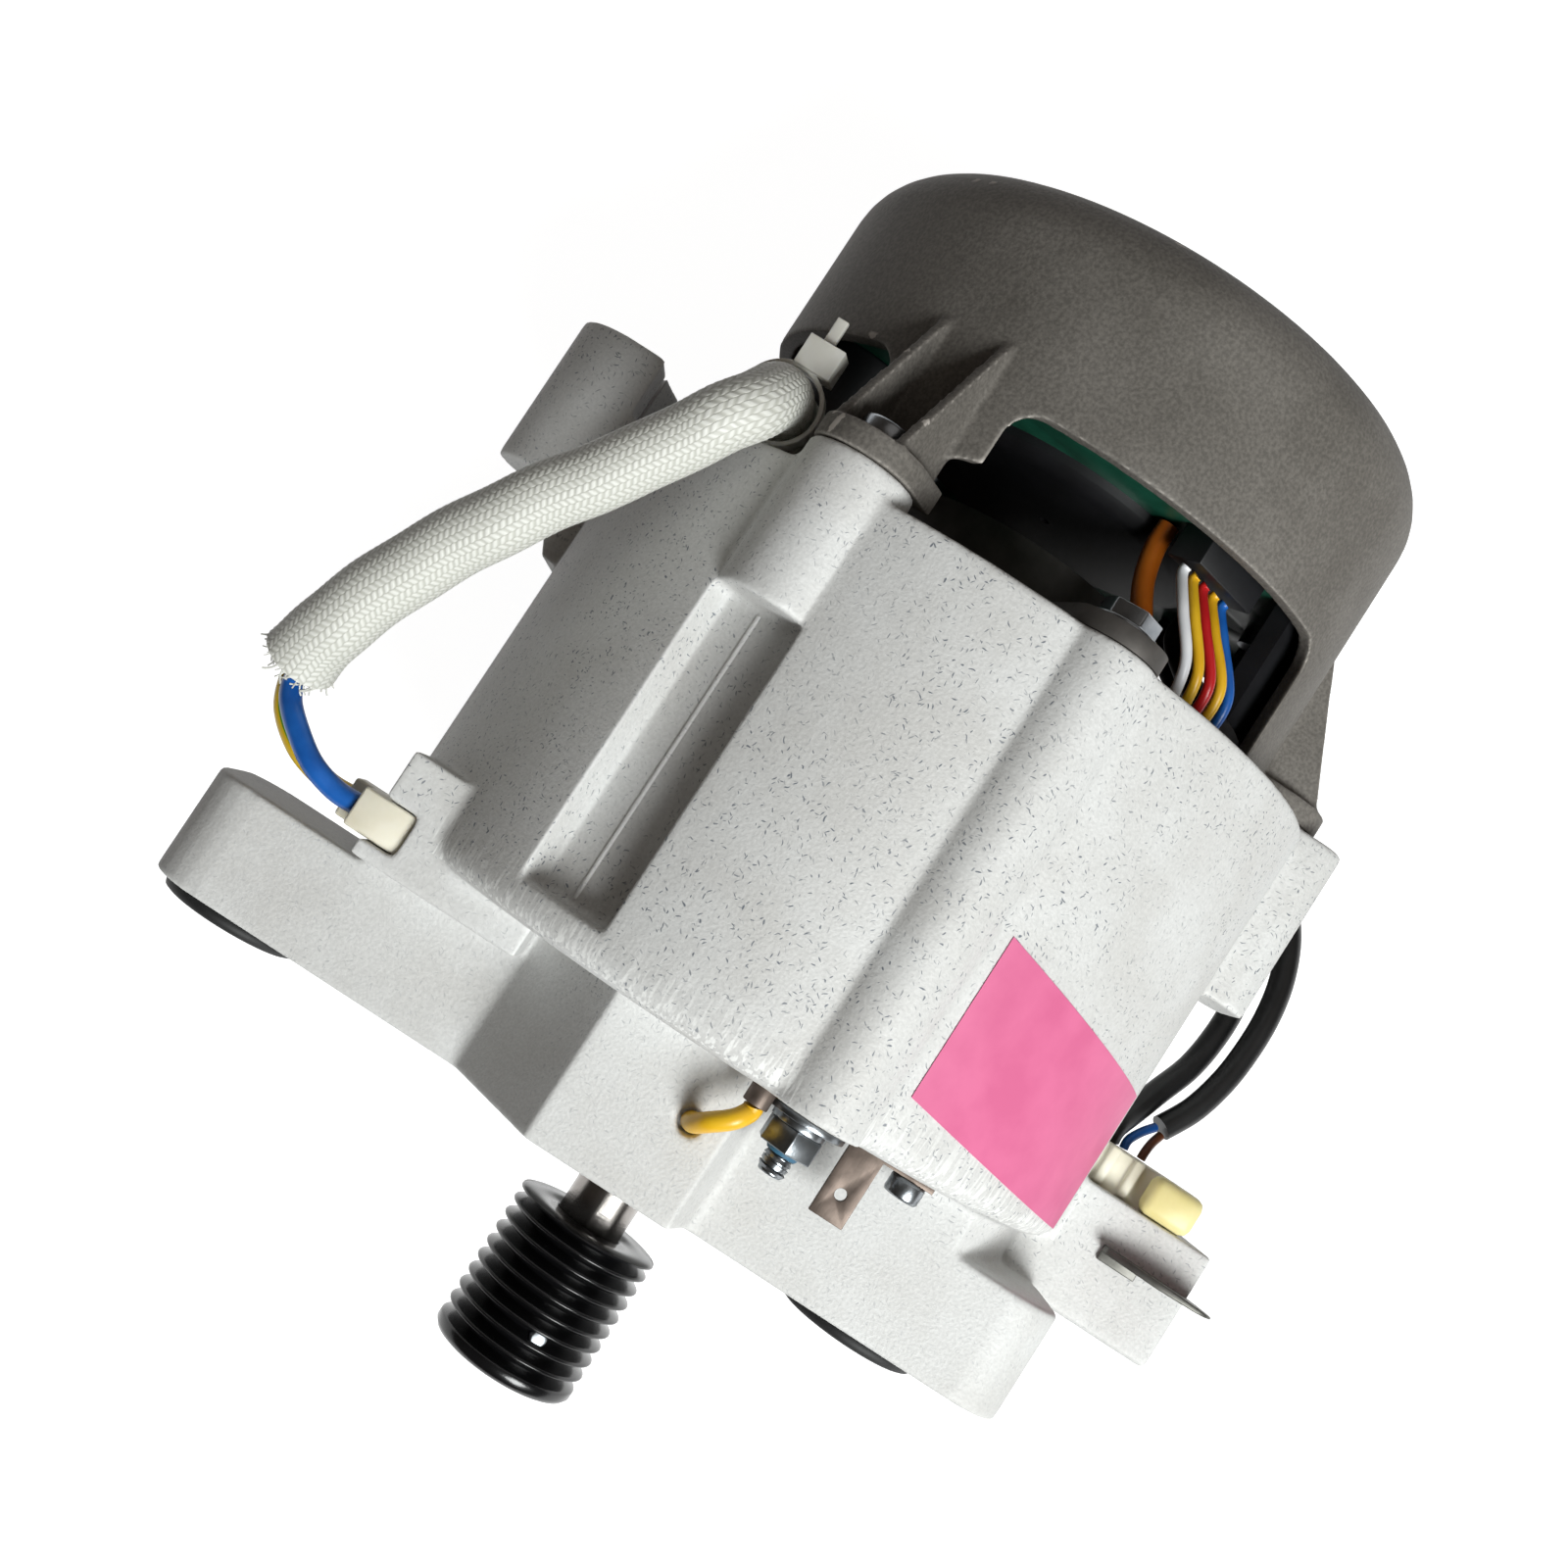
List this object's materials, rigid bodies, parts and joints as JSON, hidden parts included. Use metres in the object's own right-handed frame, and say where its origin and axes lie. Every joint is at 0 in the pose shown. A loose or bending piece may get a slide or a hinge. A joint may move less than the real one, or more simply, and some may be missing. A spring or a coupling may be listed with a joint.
{
  "type": "washing machine motor",
  "caption": "Brushless drum motor: poly-V belt pulley, cast flanged housing with rubber-bushed mounts, and a windowed rear cover over its driver board.",
  "frame": {"origin": "on the shaft axis, at the middle of the belt pulley's width", "axes": "+X along the shaft from the pulley to the rear cover; +Y towards the upper mounting arm; +Z towards the side with the pictured window"},
  "size_m": [0.1741, 0.1554, 0.1112],
  "materials": {
    "cast_aluminium": "shot-blasted die casting",
    "cover_aluminium": "dark fine-blasted die casting",
    "bracket_aluminium": "plain die casting",
    "zinc_steel": "bright zinc plating",
    "ground_steel": "ground",
    "bearing_steel": "polished",
    "spring_steel": "pressed strip",
    "cage_brass": "pressed",
    "pulley_black": "black gloss coating on steel",
    "electrical_steel": "stacked laminations",
    "ferrite": "ground ferrite",
    "copper_winding": "enamelled copper wire",
    "black_rubber": "moulded",
    "insulator_nylon": "moulded",
    "cream_nylon": "moulded",
    "yellow_nylon": "moulded",
    "white_nylon": "moulded",
    "board_green": "glass-epoxy board with green solder mask",
    "black_case": "moulded epoxy and sleeved cans",
    "pvc_white": "extruded insulation",
    "pvc_yellow": "extruded insulation",
    "pvc_red": "extruded insulation",
    "pvc_blue": "extruded insulation",
    "pvc_orange": "extruded insulation",
    "pvc_black": "extruded insulation",
    "pvc_brown": "extruded insulation",
    "pvc_green_yellow": "extruded insulation",
    "glass_braid": "braided glass sleeving",
    "tinned_brass": "tinned",
    "pink_paper": "blank self-adhesive label"
  },
  "bodies": {
    "housing": {"front_housing": "cast_aluminium", "rear_cover": "cover_aluminium", "rear_bearing_bracket": "bracket_aluminium", "cover_screws": "zinc_steel", "bracket_screws": "zinc_steel", "bush_rubbers": "black_rubber", "bush_inserts": "zinc_steel", "front_bearing_outer": "bearing_steel", "rear_bearing_outer": "bearing_steel", "bearing_shields": "spring_steel", "wave_washer": "spring_steel", "stator_core": "electrical_steel", "slot_insulators": "insulator_nylon", "stator_coils": "copper_winding", "hall_board": "board_green", "driver_board": "board_green", "board_capacitors": "black_case", "board_connector": "white_nylon", "power_module": "black_case", "board_screws": "zinc_steel", "white_wire": "pvc_white", "yellow_wires": "pvc_yellow", "red_wire": "pvc_red", "blue_wire": "pvc_blue", "orange_lead": "pvc_orange", "terminal_block": "cream_nylon", "blue_lead": "pvc_blue", "earth_lead": "pvc_green_yellow", "braided_sleeve": "glass_braid", "cable_tie": "white_nylon", "cable_connector": "cream_nylon", "connector_cap": "yellow_nylon", "box_clip": "zinc_steel", "black_cables": "pvc_black", "blue_core": "pvc_blue", "brown_core": "pvc_brown", "earth_stud": "zinc_steel", "earth_nut": "zinc_steel", "earth_washers": "zinc_steel", "ring_terminal": "tinned_brass", "earth_wire": "pvc_yellow", "earth_tab": "tinned_brass", "tab_screw": "zinc_steel", "rating_label": "pink_paper"},
    "rotor": {"shaft": "ground_steel", "rotor_core": "electrical_steel", "rotor_magnets": "ferrite", "pulley": "pulley_black", "pulley_pin": "zinc_steel", "front_bearing_inner": "bearing_steel", "rear_bearing_inner": "bearing_steel"},
    "front_ball_set": {"front_bearing_balls": "bearing_steel", "front_bearing_cage": "cage_brass"},
    "rear_ball_set": {"rear_bearing_balls": "bearing_steel", "rear_bearing_cage": "cage_brass"}
  },
  "joints": [
    {"name": "rotor_spin", "type": "hinge", "parent": "housing", "child": "rotor", "pos_m": [0, 0, 0], "axis": [1, 0, 0], "continuous": true},
    {"name": "front_balls_spin", "type": "hinge", "parent": "housing", "child": "front_ball_set", "pos_m": [0.03373, 0, 0], "axis": [1, 0, 0], "continuous": true},
    {"name": "rear_balls_spin", "type": "hinge", "parent": "housing", "child": "rear_ball_set", "pos_m": [0.11783, 0, 0], "axis": [1, 0, 0], "continuous": true}
  ],
  "couplings": [
    {"joint": "front_balls_spin", "follows": "rotor_spin", "ratio": 0.36477},
    {"joint": "rear_balls_spin", "follows": "rotor_spin", "ratio": 0.36477}
  ]
}
